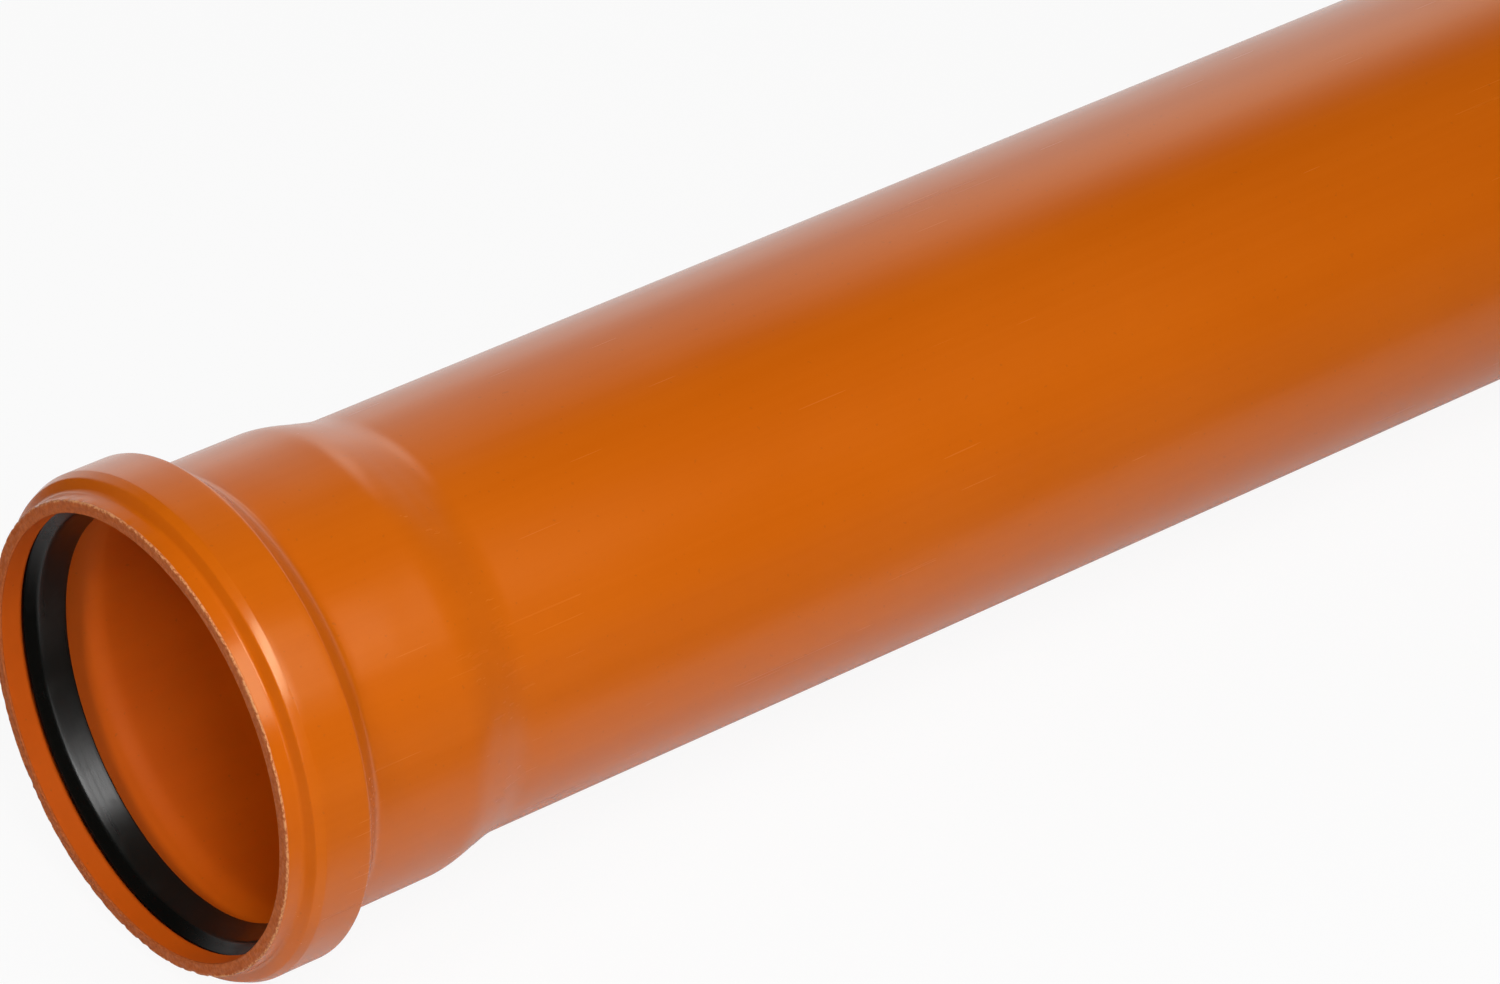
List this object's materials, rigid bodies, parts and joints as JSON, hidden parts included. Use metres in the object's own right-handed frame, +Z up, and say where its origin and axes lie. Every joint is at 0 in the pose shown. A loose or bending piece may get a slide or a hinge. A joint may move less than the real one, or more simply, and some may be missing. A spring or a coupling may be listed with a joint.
{
  "type": "socketed sewer pipe",
  "caption": "Orange-brown plastic sewer pipe, one end belled to a socket with a bead and rubber ring seal, the other a plain chamfered spigot.",
  "frame": {"origin": "on the floor under the middle of the pipe, where the bounding box's bottom centre is", "axes": "+X from the socket to the spigot, along the pipe's length; the axis falls 0.617 degrees towards +X because the pipe lies on its bead and its spigot end; +Z up from the floor"},
  "size_m": [1.0582, 0.1322, 0.1323],
  "materials": {
    "pipe_plastic": "smooth extruded PVC-U, semi-gloss orange-brown, saw-cut and matt on the mouth's edge",
    "seal_rubber": "satin black moulded rubber"
  },
  "bodies": {
    "root": {"pipe": "pipe_plastic", "seal_ring": "seal_rubber"}
  },
  "joints": []
}
